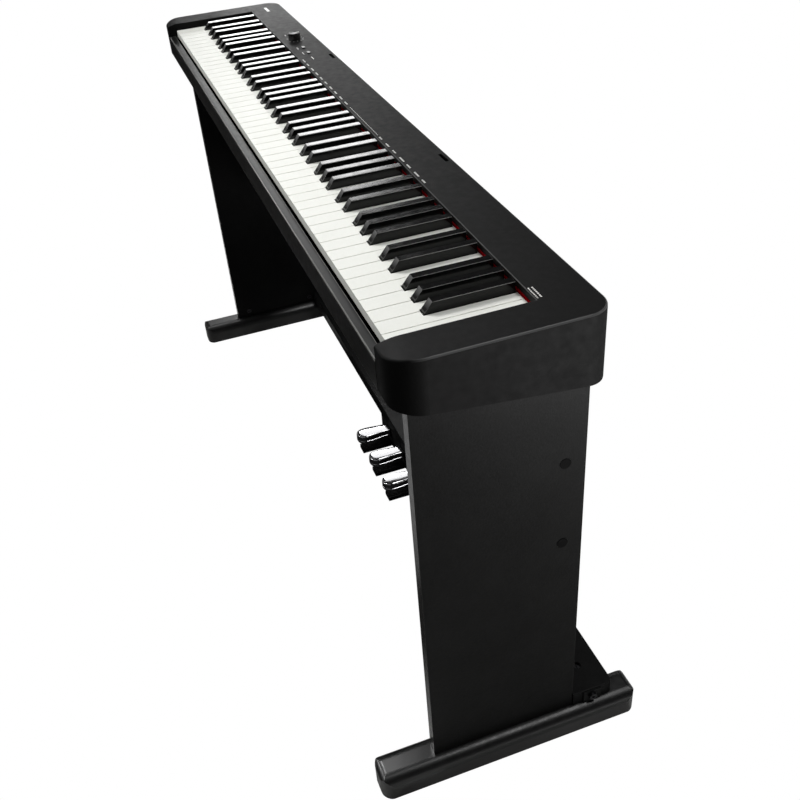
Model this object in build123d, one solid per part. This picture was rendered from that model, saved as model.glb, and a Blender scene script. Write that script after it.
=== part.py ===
from build123d import *
import os
from math import atan2, degrees, radians, tan

# Slim digital piano on a panel stand with a three-pedal unit.
# Millimetres, +Z up, player at -Y, treble end at +X. The origin lies on the floor, midway between the feet.

# Instrument body
body_length = 1322.0
body_depth = 226.5
body_top = 690.0
body_rear = 92.5  # rear face, behind the middle of the feet
body_rear_height = 84.0
body_front_height = 59.0
case_wall = 3.0
front_corner_radius = 34.0
rear_corner_radius = 28.0
top_edge_radius = 2.5
front_roll_run = 25.0
front_roll_drop = 4.6
rear_bottom_radius = 8.0
front_bottom_radius = 5.0
floor_thickness = 3.0
floor_margin = 6.0  # case rim left around the floor
cheek_width = 48.0
cheek_wall = 2.5
panel_depth = 61.5
panel_lip_depth = 3.0
well_edge_radius = 1.0
fit_gap = 0.3
screw_gap = 0.15

# Key slip
slip_depth = 11.7
slip_gap = 4.3  # between the slip and the white keys
slip_front_height = 36.5
slip_rise = 0.3
slip_edge = 1.0
slip_wall = 2.5

# Keys
white_count = 52
white_gap = 1.0
white_drop = 12.0  # key top below the body's top
white_height = 23.0
white_lip_height = 11.0  # front lip of a white key
white_lip_depth = 5.0
key_side_gap = 2.0  # end keys to the cheeks
black_setback = 49.0  # behind the white keys' front
black_width = 11.0
black_top_width = 9.4
black_rise = 12.0
black_front_run = 9.5
black_offset = 3.0
black_side_gap = 1.0
black_panel_gap = 2.5
key_wall = 2.2
key_dip = 10.0
key_pivot_inset = 22.5  # pivot line in front of the rear face
key_tail = 4.5
key_step_run = 5.0  # full height goes this far under the panel
key_tail_drop = 22.0  # tail top below the body's top
key_solid_run = 10.0
pivot_notch_depth = 4.0
pivot_notch_gap = 0.5

# Key chassis, felts and contacts
chassis_thickness = 2.5
chassis_clearance = 14.0  # below the keys
ridge_width = 4.0
chassis_leg = 4.0
guide_depth = 6.0
guide_side_gap = 1.0
guide_top_gap = 2.0
white_guide_run = 21.0  # from the key's front
black_guide_run = 17.0
felt_height = 4.0
felt_depth = 12.0
felt_run = 6.0
name_felt_height = 3.5
board_thickness = 1.6
sensor_board_depth = 30.0
sensor_rib = 2.0
contact_width = 10.0
contact_height = 6.2
contact_inset = 70.0  # contacts in front of the pivot

# Panel controls
power_run = 250.0  # from the bass end
knob_pitch = 33.0  # power button to knob
button_run = 57.0  # knob to the first function button
button_pitch = 34.0
control_inset = 37.5  # control line in front of the rear face
power_diameter = 9.0
knob_diameter = 22.0
knob_height = 11.0
knob_lift = 0.5
shaft_diameter = 6.0
button_length = 12.0
button_width = 6.0
button_lift = 1.4
button_gap = 0.4
button_travel = 1.0
flange_margin = 1.5
flange_thickness = 2.0
panel_board_drop = 11.0  # board top below the panel's underside
panel_board_length = 190.0
panel_board_depth = 26.0
boss_diameter = 6.0
pot_diameter = 17.0
pot_gap = 1.0
switch_size = 6.0

# Music rest slots
rest_slot_pitch = 492.0
rest_slot_length = 26.0
rest_slot_width = 4.8
rest_slot_inset = 8.5  # slot centre in front of the rear face

# Electronics and speakers
main_board_run = 461.0  # from the bass end
main_board_length = 160.0
main_board_depth = 56.0
board_post = 6.0
post_diameter = 6.0
chip_size = 14.0
chip_height = 3.0
speaker_run = 191.0  # from each end
speaker_length = 110.0
speaker_width = 58.0
speaker_flange = 2.0
basket_height = 9.0
magnet_length = 44.0
magnet_height = 6.0
cone_length = 84.0
cone_width = 46.0
grille_slots = 9
grille_slot_width = 2.5
grille_pitch = 8.0
jack_run = 101.0  # first jack from the bass end
jack_pitch = 32.0
jack_size = 13.0
jack_depth = 14.0
jack_height = 16.0  # jack centre above the rear bottom edge
bushing_diameter = 11.0
plug_bore = 6.5
inlet_bore = 5.6
inlet_pin = 2.0

# Case screws
case_screw_diameter = 3.0
case_screw_head = 6.0
case_screw_head_height = 1.8
case_screw_grip = 9.0
case_boss_diameter = 7.0
cheek_boss_inset = 25.0
rear_screw_inset = 21.0  # outermost rear screws inside the stand's panels

# Stand panels and feet
panel_overhang = 44.0  # body's end beyond the panel
panel_thickness = 16.0
panel_front_inset = 26.0
foot_width = 50.0
foot_length = 372.0
foot_height = 38.5
foot_top_radius = 16.0
foot_corner_radius = 18.0
foot_end_radius = 10.0
foot_bottom_radius = 2.0
glide_height = 1.5
glide_length = 60.0
glide_width = 30.0
glide_inset = 30.0

# Back board
back_board_thickness = 16.0
back_board_height = 192.0
back_board_drop = 189.5  # board's middle below the body's rear edge
back_board_inset = 17.0  # behind it, to the panel's rear edge

# Bolts, nuts and caps
bolt_diameter = 6.0
bolt_length = 50.0
bolt_head_diameter = 11.0
bolt_head_height = 4.0
back_bolt_pitch = 120.0
foot_bolt_front = 26.0  # behind the panel's front edge
foot_bolt_rear = 31.5  # in front of the panel's rear edge
nut_diameter = 10.0
nut_length = 13.0
nut_height = 12.0  # above the foot
nut_overrun = 6.0
cap_diameter = 14.0
cap_depth = 2.0
cap_proud = 0.5
board_nut_gap = 0.4

# Angle brackets under the instrument and at the pedal board's ends
bracket_leg = 32.0
bracket_thickness = 2.0
bracket_width = 30.0
bracket_inset = 40.0
bracket_screw_diameter = 4.0
bracket_screw_head = 8.0
bracket_screw_head_height = 2.4
bracket_screw_length = 10.0
bracket_screw_run = 19.0  # from the bracket's corner
end_bracket_width = 26.0
end_bracket_leg = 21.0
end_bracket_height = 20.0
end_bracket_thickness = 2.0
end_screw_run = 12.0

# Pedal board, box and pedals
board_lap = 21.5  # board's front before the panel's rear edge
board_depth = 82.0
board_height = 22.0
board_reach = 2.0  # board's end beyond the panel
board_corner_radius = 8.0
board_edge_radius = 1.5
notch_gap = 0.6
board_bolt_back = 32.0  # in front of the board's rear edge
box_half_length = 120.0
box_wall = 2.5
base_thickness = 3.0
rest_height = 8.0
rest_width = 22.0
rest_reach = 58.0
pedal_pitch = 74.0
pedal_reach = 64.5  # tip in front of the board
pedal_width = 31.0
pedal_neck_width = 25.0
pedal_top = 42.0
pedal_thickness = 17.0
pedal_edge_radius = 5.0
paddle_length = 63.5
lever_width = 16.0
lever_thickness = 9.0
pedal_pivot_inset = 15.0  # pivot in front of the box's rear face
pedal_pivot_height = 30.0
pedal_slot_gap = 2.0
pedal_angle = 6.2
rod_diameter = 6.0
rib_thickness = 3.0
spring_diameter = 11.0
spring_wire = 2.0
spring_run = 40.0  # spring in front of the pivot

# Places worked out from the sizes
body_front = body_rear - body_depth
half_length = body_length / 2
slope = (body_rear_height - body_front_height) / body_depth
slope_angle = degrees(atan2(body_rear_height - body_front_height, body_depth))
panel_edge = body_rear - panel_depth
panel_underside = body_top - case_wall
cheek_inner = half_length - cheek_width
keys_left = -cheek_inner + key_side_gap
white_pitch = -2 * keys_left / white_count
white_length = body_depth - panel_depth - slip_depth - slip_gap
white_top = body_top - white_drop
white_bottom = white_top - white_height
key_front = panel_edge - white_length
black_front = key_front + black_setback
pivot_y = body_rear - key_pivot_inset
notch_top = white_bottom + pivot_notch_depth
pivot_z = notch_top - fit_gap - ridge_width / 2
tail_end = pivot_y + key_tail
tail_top = body_top - key_tail_drop
chassis_top = white_bottom - chassis_clearance
chassis_bottom = chassis_top - chassis_thickness
sensor_y = pivot_y - contact_inset
sensor_board_low = chassis_top + sensor_rib
under_y = (sensor_y + pivot_y) / 2  # middle of the space for the main board and speakers
power_x = power_run - half_length
knob_x = power_x + knob_pitch
button_x = knob_x + button_run
control_y = body_rear - control_inset
panel_board_top = panel_underside - panel_board_drop
panel_board_middle = (power_x + button_x + button_pitch) / 2
main_board_x = main_board_run - half_length
speaker_x = half_length - speaker_run
jack_x = jack_run - half_length
panel_outer = half_length - panel_overhang
panel_inner = panel_outer - panel_thickness
panel_middle = (panel_inner + panel_outer) / 2
panel_front = body_front + panel_front_inset
panel_rear = body_rear
rear_screw_pitch = (panel_inner - rear_screw_inset) / 2
foot_top = glide_height + foot_height
board_front = panel_rear - board_lap
board_rear = board_front + board_depth
board_top = foot_top + board_height
board_half_length = panel_outer + board_reach
pedal_tip = board_front - pedal_reach
pedal_pivot_y = board_rear - pedal_pivot_inset
pedal_bottom = pedal_top - pedal_thickness


def underside(y):
    """Height of the body's sloping underside."""
    return body_top - body_rear_height + (body_rear - y) * slope


def floor_top(y):
    return underside(y) + floor_thickness


def block(x0, x1, y0, y1, z0, z1):
    return Pos((x0 + x1) / 2, (y0 + y1) / 2, (z0 + z1) / 2) * Box(x1 - x0, y1 - y0, z1 - z0)


def profile(points, x0, x1):
    """Prism along X of an outline given as (y, z) points."""
    face = make_face(Polyline(*points, close=True))
    return Pos(x0, 0, 0) * extrude(Plane.YZ * face, amount=x1 - x0, dir=(1, 0, 0))


def plate(sketch, z0, z1):
    return Pos(0, 0, z0) * extrude(sketch, amount=z1 - z0, dir=(0, 0, 1))


def upright(x, y, z0, z1, diameter):
    return Pos(x, y, (z0 + z1) / 2) * Cylinder(diameter / 2, z1 - z0)


def along_x(x0, x1, y, z, diameter):
    return Pos((x0 + x1) / 2, y, z) * Rot(0, 90, 0) * Cylinder(diameter / 2, abs(x1 - x0))


def along_y(x, y0, y1, z, diameter):
    return Pos(x, (y0 + y1) / 2, z) * Rot(90, 0, 0) * Cylinder(diameter / 2, y1 - y0)


def above_floor(x, y, top, diameter):
    """Post that stands on the sloping floor."""
    front = y - diameter
    rear = y + diameter
    ground = underside(rear) - diameter
    below = [(front, ground), (rear, ground), (rear, floor_top(rear)), (front, floor_top(front))]
    return upright(x, y, ground, top, diameter) - profile(below, x - diameter, x + diameter)


def rounded_plan(half, y0, y1, front_radius, rear_radius):
    sketch = Pos(0, (y0 + y1) / 2) * Rectangle(2 * half, y1 - y0)
    sketch = fillet(sketch.vertices().sort_by(Axis.Y)[:2], front_radius)
    return fillet(sketch.vertices().sort_by(Axis.Y)[-2:], rear_radius)


def floor_plan(gap):
    inset = floor_margin + gap
    front = body_front + inset
    rear = body_rear - rear_bottom_radius - gap
    return rounded_plan(half_length - inset, front, rear, front_corner_radius - inset, rear_corner_radius / 2)


def sloping_slab(thickness, margin):
    """Slab on the underside's slope, longer than the body by the margin."""
    y0 = body_front - margin
    y1 = body_rear + margin
    lower = [(y0, underside(y0)), (y1, underside(y1))]
    upper = [(y1, underside(y1) + thickness), (y0, underside(y0) + thickness)]
    return profile(lower + upper, -half_length - margin, half_length + margin)


def body_envelope():
    """Outer form of the case: rounded plan, wedge-shaped side, rolled front edge."""
    plan = rounded_plan(half_length, body_front, body_rear, front_corner_radius, rear_corner_radius)
    solid = plate(plan, underside(body_rear), body_top)
    above = body_top + front_roll_run
    corners = [
        (body_front, underside(body_front)),
        (body_rear, underside(body_rear)),
        (body_rear, above),
        (body_front, above),
    ]
    side = make_face(Polyline(*corners, close=True))
    side = fillet(side.vertices().sort_by(Axis.Y)[0], rear_bottom_radius)
    front_low = side.vertices().sort_by_distance((*corners[0], 0))[0]
    side = fillet(front_low, front_bottom_radius)
    reach = half_length + front_corner_radius
    solid &= Pos(-reach, 0, 0) * extrude(Plane.YZ * side, amount=2 * reach, dir=(1, 0, 0))
    roll_radius = (front_roll_run**2 + front_roll_drop**2) / (2 * front_roll_drop)
    roll_start = body_front + front_roll_run
    shoulder = block(-reach, reach, body_front - case_wall, roll_start, body_top - front_roll_run, above)
    roll = along_x(-reach, reach, roll_start, body_top - roll_radius, 2 * roll_radius)
    return solid - (shoulder - roll)


def outer_top_edges(solid):
    """Edges round the top, without the line where the rolled front begins."""
    roll_start = body_front + front_roll_run
    lowest = body_top - front_roll_drop - fit_gap
    edges = solid.edges().filter_by(lambda edge: edge.center().Z > lowest)
    return edges.filter_by(lambda edge: abs(edge.center().Y - roll_start) > fit_gap)


def well_edges(solid):
    """Top edges of the opening for the keys."""
    lowest = body_top - front_roll_drop
    edges = solid.edges().filter_by(lambda edge: edge.center().Z > lowest)
    cheeks = edges.filter_by(lambda edge: abs(abs(edge.center().X) - cheek_inner) < fit_gap)
    return cheeks + edges.filter_by(lambda edge: abs(edge.center().Y - panel_edge) < fit_gap)


def case_boss_places():
    cheek_x = (cheek_inner + cheek_wall + half_length - case_wall) / 2
    cheek_y = (body_front + front_corner_radius, panel_edge - cheek_boss_inset)
    places = [(side * cheek_x, y) for side in (-1, 1) for y in cheek_y]
    rear_y = body_rear - rear_bottom_radius - case_boss_diameter / 2 - fit_gap
    places += [(index * rear_screw_pitch, rear_y) for index in (-2, -1, 0, 1, 2)]
    return places


def button_places():
    return [(button_x, control_y), (button_x + button_pitch, control_y)]


def rest_slot(side):
    x = side * rest_slot_pitch / 2
    y = body_rear - rest_slot_inset
    half = rest_slot_length / 2
    reach = rest_slot_width / 2
    return block(x - half, x + half, y - reach, y + reach, panel_underside - case_wall, body_top + case_wall)


def jack_places():
    return [jack_x + index * jack_pitch for index in range(3)]


jack_z = underside(body_rear) + jack_height


def make_top_case():
    solid = body_envelope()
    solid = fillet(outer_top_edges(solid), top_edge_radius)
    low = underside(body_rear) - case_wall
    reach = half_length + case_wall
    hollow = plate(
        rounded_plan(half_length - case_wall, body_front + case_wall, body_rear - case_wall,
                     front_corner_radius - case_wall, rear_corner_radius - case_wall),
        low, panel_underside)
    hollow -= block(-reach, reach, body_front, panel_edge, panel_underside - front_roll_drop, body_top)
    lip_rear = panel_edge + panel_lip_depth
    hollow -= block(-cheek_inner, cheek_inner, panel_edge, lip_rear, white_top + fit_gap, body_top)
    for side in (-1, 1):
        x0, x1 = sorted((side * cheek_inner, side * (cheek_inner + cheek_wall)))
        hollow -= block(x0, x1, body_front, lip_rear, low, body_top)
    floor = sloping_slab(floor_thickness, case_wall)
    solid -= hollow - floor
    solid -= floor & plate(floor_plan(0), low, body_top)
    solid -= block(-cheek_inner, cheek_inner, body_front - case_wall, panel_edge, low, body_top + case_wall)
    solid = fillet(well_edges(solid), well_edge_radius)
    for x, y in case_boss_places():
        solid += above_floor(x, y, panel_underside, case_boss_diameter)
        top = floor_top(y) + case_screw_grip + fit_gap
        solid -= upright(x, y, floor_top(y) - case_wall, top, case_screw_diameter + 2 * screw_gap)
    for side in (-1, 1):
        x = panel_board_middle + side * (panel_board_length / 2 - boss_diameter)
        solid += upright(x, control_y, panel_board_top, panel_underside, boss_diameter)
    above = body_top + case_wall
    solid -= upright(power_x, control_y, panel_board_top, above, power_diameter + 2 * button_gap)
    solid -= upright(knob_x, control_y, panel_board_top, above, shaft_diameter + 2 * button_gap)
    for x, y in button_places():
        hole = SlotOverall(button_length + 2 * button_gap, button_width + 2 * button_gap)
        solid -= Pos(x, y, 0) * plate(hole, panel_board_top, above)
    for side in (-1, 1):
        solid -= rest_slot(side)
    bushing_hole = bushing_diameter + 2 * fit_gap
    for x in jack_places():
        solid -= along_y(x, body_rear - 2 * case_wall, body_rear + case_wall, jack_z, bushing_hole)
    return solid


def make_bottom_case():
    solid = plate(floor_plan(fit_gap), underside(body_rear), body_top)
    solid &= sloping_slab(floor_thickness, case_wall)
    for x in main_board_posts():
        for y in board_post_rows():
            solid += above_floor(x, y, main_board_bottom, post_diameter)
    for side in (-1, 1):
        for index in range(grille_slots):
            x = side * speaker_x + (index - (grille_slots - 1) / 2) * grille_pitch
            half = grille_slot_width / 2
            reach = cone_width / 2 - case_wall
            low = underside(body_rear)
            solid -= block(x - half, x + half, under_y - reach, under_y + reach, low, main_board_bottom)
    screw_hole = case_screw_diameter + 2 * screw_gap
    for x, y in case_boss_places():
        solid -= upright(x, y, underside(y) - case_wall, floor_top(y) + case_wall, screw_hole)
    for side, y in bracket_places():
        solid -= bracket_screw_down(side, y, screw_gap)
    return solid


def make_key_slip():
    inner = body_front + slip_depth
    crest = underside(body_front) + slip_front_height
    floor_front = body_front + floor_margin
    wall_front = body_front + slip_wall
    wall_rear = inner - slip_wall
    outline = [
        (body_front, underside(body_front)),
        (body_front, crest),
        (body_front + slip_edge, crest + slip_edge),
        (inner, crest + slip_edge + slip_rise),
        (inner, floor_top(inner)),
        (wall_rear, floor_top(wall_rear)),
        (wall_rear, crest + slip_edge + slip_rise - 1.5 * slip_wall),
        (wall_front, crest + slip_edge - slip_wall),
        (wall_front, floor_top(wall_front)),
        (floor_front, floor_top(floor_front)),
        (floor_front, underside(floor_front)),
    ]
    section = make_face(Polyline(*outline, close=True))
    section = fillet(section.vertices().sort_by_distance((*outline[0], 0))[0], front_bottom_radius)
    half = cheek_inner - fit_gap
    return Pos(-half, 0, 0) * extrude(Plane.YZ * section, amount=2 * half, dir=(1, 0, 0))


def white_letter(index):
    return "ABCDEFG"[index % 7]


def has_black_above(index):
    return white_letter(index) in "ACDFG" and index < white_count - 1


def black_x(index):
    """Middle of the black key above a white key."""
    shift = {"C": -black_offset, "F": -black_offset, "D": black_offset, "A": black_offset, "G": 0.0}
    return keys_left + (index + 1) * white_pitch + shift[white_letter(index)]


def white_span(index):
    x0 = keys_left + index * white_pitch + white_gap / 2
    return x0, x0 + white_pitch - white_gap


def tail_span(index):
    x0, x1 = white_span(index)
    reach = black_width / 2 + black_side_gap
    if index > 0 and has_black_above(index - 1):
        x0 = max(x0, black_x(index - 1) + reach)
    if has_black_above(index):
        x1 = min(x1, black_x(index) - reach)
    return x0, x1


def key_tail_outline(start, top):
    hinge = ridge_width / 2 + pivot_notch_gap
    step = panel_edge - black_panel_gap if top > white_top else panel_edge + key_step_run
    return [
        (start, white_bottom),
        (pivot_y - hinge, white_bottom),
        (pivot_y - hinge, pivot_z),
        (pivot_y + hinge, pivot_z),
        (pivot_y + hinge, white_bottom),
        (tail_end, white_bottom),
        (tail_end, tail_top),
        (step, tail_top),
        (step, min(top, white_top)),
        (start, min(top, white_top)),
    ]


def pivot_bore(x0, x1):
    """Round seat in a key's underside for the chassis ridge."""
    return along_x(x0, x1, pivot_y, pivot_z, ridge_width + 2 * fit_gap)


def make_white_key(index):
    x0, x1 = white_span(index)
    tail_x0, tail_x1 = tail_span(index)
    shoulder = black_front - black_side_gap
    key = block(x0, x1, key_front, shoulder, white_bottom, white_top)
    key += profile(key_tail_outline(shoulder, white_top), tail_x0, tail_x1)
    low = white_bottom - key_wall
    front = key_front + key_wall
    key -= block(x0 + key_wall, x1 - key_wall, front, shoulder - key_wall, low, white_top - key_wall)
    key -= block(tail_x0 + key_wall, tail_x1 - key_wall, shoulder - 2 * key_wall, pivot_y - key_solid_run,
                 low, tail_top - key_wall)
    lip_rear = key_front + white_lip_depth
    key -= block(x0, x1, key_front - key_wall, lip_rear, low, white_top - white_lip_height)
    return key - pivot_bore(x0, x1)


def make_black_key(index):
    x = black_x(index)
    half = black_width / 2
    key = profile(key_tail_outline(black_front, body_top), x - half, x + half)
    rear = panel_edge - black_panel_gap
    length = rear - black_front
    base = Pos(x, rear - length / 2, white_top) * Rectangle(black_width, length)
    crown_length = length - black_front_run
    crown = Rectangle(black_top_width, crown_length)
    crown = Pos(x, rear - crown_length / 2, white_top + black_rise) * crown
    key += loft([base, crown], ruled=True)
    key -= block(x - half + key_wall, x + half - key_wall, black_front + key_wall, pivot_y - key_solid_run,
                 white_bottom - key_wall, tail_top - key_wall)
    return key - pivot_bore(x - half, x + half)


def white_group(index):
    """Group of a white key: C to E or F to B of its octave; the odd keys at the ends join their neighbours."""
    octave, step = divmod(max(index - 2, 0), 7)
    last = 2 * ((white_count - 3) // 7) - 1
    return min(2 * octave + (1 if step >= 3 else 0), last)


def key_groups():
    groups = {}
    for index in range(white_count):
        number, half = divmod(white_group(index), 2)
        name = f"white_keys_{number + 1}_" + ("high" if half else "low")
        groups.setdefault(name, []).append(make_white_key(index))
    for index in range(white_count):
        if has_black_above(index):
            octave = min(max(index - 2, 0) // 7, (white_count - 3) // 7 - 1)
            groups.setdefault(f"black_keys_{octave + 1}", []).append(make_black_key(index))
    return groups


def guide_top(roof, y):
    """Top of a guide that stays clear of the key's roof when the key is down."""
    return roof - key_wall - key_dip * (pivot_y - y) / (pivot_y - key_front) - guide_top_gap


def make_key_chassis():
    half = cheek_inner - fit_gap
    front = key_front + fit_gap
    rear = pivot_y + chassis_leg / 2
    solid = block(-half, half, front, rear, chassis_bottom, chassis_top)
    for y in (front + chassis_leg / 2, sensor_y, pivot_y):
        y0 = y - chassis_leg / 2
        y1 = y + chassis_leg / 2
        leg = [(y0, floor_top(y0)), (y1, floor_top(y1)), (y1, chassis_bottom), (y0, chassis_bottom)]
        solid += profile(leg, -half, half)
    solid += block(-half, half, pivot_y - ridge_width / 2, pivot_y + ridge_width / 2, chassis_top, pivot_z)
    solid += along_x(-half, half, pivot_y, pivot_z, ridge_width)
    for side in (-1, 1):
        y = sensor_y + side * (sensor_board_depth - chassis_leg) / 2
        solid += block(-half, half, y - chassis_leg / 2, y + chassis_leg / 2, chassis_top, sensor_board_low)
    white_y = key_front + white_guide_run
    black_y = black_front + black_guide_run
    inset = key_wall + guide_side_gap
    for index in range(white_count):
        x0, x1 = white_span(index)
        top = guide_top(white_top, white_y)
        solid += block(x0 + inset, x1 - inset, white_y, white_y + guide_depth, chassis_top, top)
        if has_black_above(index):
            x = black_x(index)
            reach = black_width / 2 - inset
            top = guide_top(tail_top, black_y)
            solid += block(x - reach, x + reach, black_y, black_y + guide_depth, chassis_top, top)
    return solid


def make_key_stop_felt():
    half = cheek_inner - fit_gap
    y = key_front + felt_run
    return block(-half, half, y, y + felt_depth, chassis_top, chassis_top + felt_height)


def make_key_sensor_board():
    half = cheek_inner - fit_gap
    reach = sensor_board_depth / 2
    top = sensor_board_low + board_thickness
    return block(-half, half, sensor_y - reach, sensor_y + reach, sensor_board_low, top)


def make_key_contact_strip():
    half = cheek_inner - fit_gap
    low = sensor_board_low + board_thickness
    reach = contact_width / 2
    return block(-half, half, sensor_y - reach, sensor_y + reach, low, low + contact_height)


def make_key_felt_strip():
    low = white_top + 2 * fit_gap
    y0 = panel_edge - black_panel_gap / 2
    return block(-cheek_inner + fit_gap, cheek_inner - fit_gap, y0, panel_edge, low, low + name_felt_height)


def make_power_button():
    top = body_top + button_lift
    flange_top = panel_underside - fit_gap
    cap = upright(power_x, control_y, flange_top - flange_thickness, top, power_diameter)
    cap = chamfer(cap.edges().group_by(Axis.Z)[-1], button_gap)
    flange_diameter = power_diameter + 2 * flange_margin
    return cap + upright(power_x, control_y, flange_top - flange_thickness, flange_top, flange_diameter)


def make_function_button(place):
    flange_top = panel_underside - fit_gap
    low = flange_top - flange_thickness
    cap = plate(SlotOverall(button_length, button_width), low, body_top + button_lift)
    cap = chamfer(cap.edges().group_by(Axis.Z)[-1], button_gap)
    flange = SlotOverall(button_length + 2 * flange_margin, button_width + 2 * flange_margin)
    return Pos(place[0], place[1], 0) * (cap + plate(flange, low, flange_top))


def make_volume_knob():
    low = body_top + knob_lift
    top = low + knob_height
    cap = upright(knob_x, control_y, low, top, knob_diameter)
    cap = chamfer(cap.edges().group_by(Axis.Z)[-1], 2 * button_gap)
    outer = knob_diameter / 2
    pointer = block(-button_gap, button_gap, outer / 2, outer, top - button_lift, top + button_lift)
    cap -= Pos(knob_x, control_y, 0) * pointer
    return cap + upright(knob_x, control_y, panel_board_top + pot_gap + fit_gap, low, shaft_diameter)


def make_volume_pot():
    top = panel_underside - flange_thickness
    body = upright(knob_x, control_y, panel_board_top, top, pot_diameter)
    bore = shaft_diameter + 2 * fit_gap
    return body - upright(knob_x, control_y, panel_board_top + pot_gap, panel_underside, bore)


def make_panel_board():
    """Board under the panel with a push switch below each button."""
    half = panel_board_length / 2
    reach = panel_board_depth / 2
    low = panel_board_top - board_thickness
    board = block(panel_board_middle - half, panel_board_middle + half, control_y - reach, control_y + reach,
                  low, panel_board_top)
    switch_top = panel_underside - flange_thickness - button_travel - 2 * fit_gap
    for x in (power_x, button_x, button_x + button_pitch):
        arm = switch_size / 2
        board += block(x - arm, x + arm, control_y - arm, control_y + arm, panel_board_top, switch_top)
    return board


main_board_bottom = floor_top(under_y - main_board_depth / 2) + board_post


def main_board_posts():
    reach = main_board_length / 2 - post_diameter
    return (main_board_x - reach, main_board_x + reach)


def board_post_rows():
    reach = main_board_depth / 2 - post_diameter
    return (under_y - reach, under_y + reach)


def make_main_board():
    half = main_board_length / 2
    reach = main_board_depth / 2
    top = main_board_bottom + board_thickness
    board = block(main_board_x - half, main_board_x + half, under_y - reach, under_y + reach,
                  main_board_bottom, top)
    arm = chip_size / 2
    for index in (-1, 0, 1):
        x = main_board_x + index * 3 * chip_size
        board += block(x - arm, x + arm, under_y - arm, under_y + arm, top, top + chip_height)
    return board


def make_speaker(side):
    """Speaker that faces down through the floor's slots, made level and then laid on the slope."""
    half = speaker_length / 2
    reach = speaker_width / 2
    cone_half = cone_length / 2
    cone_reach = cone_width / 2
    arm = magnet_length / 2
    frame = block(-half, half, -reach, reach, 0, speaker_flange)
    frame += block(-cone_half, cone_half, -cone_reach, cone_reach, speaker_flange, basket_height)
    frame += block(-arm, arm, -arm, arm, basket_height, basket_height + magnet_height)
    mouth = cone_half - case_wall
    mouth_reach = cone_reach - case_wall
    frame -= block(-mouth, mouth, -mouth_reach, mouth_reach, -case_wall, basket_height - case_wall)
    return Pos(side * speaker_x, under_y, floor_top(under_y)) * Rot(-slope_angle, 0, 0) * frame


def make_rear_jacks():
    """Power inlet, pedal jack and phones jack, from the bass end inwards."""
    jacks = []
    inner = body_rear - case_wall - fit_gap
    half = jack_size / 2
    for x, bore in zip(jack_places(), (inlet_bore, plug_bore, plug_bore)):
        jack = block(x - half, x + half, inner - jack_depth, inner, jack_z - half, jack_z + half)
        jack += along_y(x, inner - fit_gap, body_rear, jack_z, bushing_diameter)
        jack -= along_y(x, inner - jack_depth + case_wall, body_rear + case_wall, jack_z, bore)
        jacks.append(jack)
    pin = along_y(jack_x, inner - jack_depth + case_wall - fit_gap, body_rear - case_wall, jack_z, inlet_pin)
    jacks[0] += pin
    return jacks


def make_case_screws():
    screws = []
    for x, y in case_boss_places():
        seat = underside(y + case_screw_head / 2)
        tip = floor_top(y) + case_screw_grip
        head = upright(x, y, seat - case_screw_head_height, seat, case_screw_head)
        screws.append(head + upright(x, y, seat - fit_gap, tip, case_screw_diameter))
    return screws


def foot_bolt_rows():
    return [panel_front + foot_bolt_front, panel_rear - foot_bolt_rear]


def back_board_y():
    return panel_rear - back_board_inset - back_board_thickness / 2


def back_bolt_rows():
    return [back_board_middle + side * back_bolt_pitch / 2 for side in (-1, 1)]


back_board_middle = underside(body_rear) - back_board_drop
nut_z = foot_top + nut_height
foot_bolt_seat = nut_z + nut_overrun - bolt_length
board_bolt_y = board_rear - board_bolt_back
board_bolt_z = foot_top + board_height / 2
board_bolt_seat = board_half_length + end_bracket_thickness
board_nut_x = board_bolt_seat - bolt_length + nut_overrun


def bolt(gap):
    """Bolt along +Z with its head below the origin, grown by a gap to cut its hole."""
    shank = upright(0, 0, -bolt_head_height, bolt_length + gap, bolt_diameter + 2 * gap)
    return shank + upright(0, 0, -bolt_head_height, 0, bolt_head_diameter + 2 * gap)


def back_bolt(side, z, gap):
    seat = side * (panel_outer - cap_depth - bolt_head_height)
    return Pos(seat, back_board_y(), z) * Rot(0, -90 * side, 0) * bolt(gap)


def foot_bolt(side, y, gap):
    return Pos(side * panel_middle, y, foot_bolt_seat) * bolt(gap)


def board_bolt(side, gap):
    """Bolt through the bracket on the pedal board's end."""
    return Pos(side * board_bolt_seat, board_bolt_y, board_bolt_z) * Rot(0, -90 * side, 0) * bolt(gap)


def board_nut(side):
    low = board_bolt_z - nut_length / 2
    nut = upright(side * board_nut_x, board_bolt_y, low, low + nut_length, nut_diameter)
    return nut - board_bolt(side, screw_gap)


def end_screw(side, gap):
    """Screw through the bracket's flat leg down into the foot."""
    seat = foot_top + end_bracket_thickness
    place = Pos(side * (board_half_length - end_screw_run), board_bolt_y, seat)
    return place * Rot(180, 0, 0) * small_screw(gap)


def end_bracket(side, gap):
    """Angle whose flat leg lies on the foot under the board, its upright leg on the board's end."""
    half = end_bracket_width / 2 + gap
    x0, x1 = sorted((side * (board_half_length - end_bracket_leg - gap), side * board_bolt_seat))
    w0, w1 = sorted((side * board_half_length, side * board_bolt_seat))
    y0 = board_bolt_y - half
    y1 = board_bolt_y + half
    flat = block(x0, x1, y0, y1, foot_top, foot_top + end_bracket_thickness + gap)
    return flat + block(w0, w1, y0, y1, foot_top, foot_top + end_bracket_height)


def make_end_bracket(side):
    return end_bracket(side, 0) - board_bolt(side, screw_gap) - end_screw(side, screw_gap)


def panel_cap(side, z, gap):
    inner = side * (panel_outer - cap_depth)
    outer = side * (panel_outer + cap_proud)
    return along_x(inner, outer, back_board_y(), z, cap_diameter + 2 * gap)


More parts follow.
